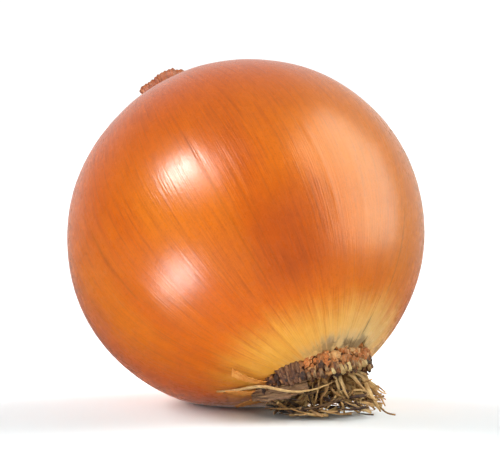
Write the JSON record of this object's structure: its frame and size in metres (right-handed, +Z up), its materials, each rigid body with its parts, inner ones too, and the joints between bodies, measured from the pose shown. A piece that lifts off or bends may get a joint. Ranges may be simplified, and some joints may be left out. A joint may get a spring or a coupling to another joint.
{
  "type": "onion",
  "caption": "Round brown-skinned onion lying on a flat spot of its side, with a dry papery neck and a root plate with dried roots.",
  "frame": {"origin": "centre of the small flat spot on the bulb's side that the onion rests on", "axes": "+Z up. The root end is low, 42 degrees from straight down, and towards +X and -Y; the dry neck is high, towards -X and +Y."},
  "size_m": [0.0792, 0.079, 0.0764],
  "materials": {
    "onion_skin": "gloss",
    "neck_paper": "satin",
    "plate_cork": "matte",
    "dried_root": "matte",
    "cut_root": "matte",
    "torn_skin": "satin",
    "old_scale": "matte"
  },
  "bodies": {
    "root": {"bulb": "onion_skin", "dry_neck": "neck_paper", "root_plate": "plate_cork", "root_01": "dried_root", "root_02": "dried_root", "root_03": "dried_root", "root_04": "dried_root", "root_05": "dried_root", "root_06": "dried_root", "root_07": "dried_root", "root_08": "dried_root", "root_09": "dried_root", "root_10": "dried_root", "root_11": "dried_root", "root_12": "dried_root", "root_13": "dried_root", "root_14": "dried_root", "root_15": "dried_root", "root_16": "dried_root", "root_stub_1": "cut_root", "root_stub_2": "cut_root", "root_stub_3": "cut_root", "root_stub_4": "cut_root", "root_stub_5": "cut_root", "root_stub_6": "cut_root", "skin_strip_1": "torn_skin", "skin_strip_2": "torn_skin", "skin_strip_3": "torn_skin", "dry_scale": "old_scale"}
  },
  "joints": []
}
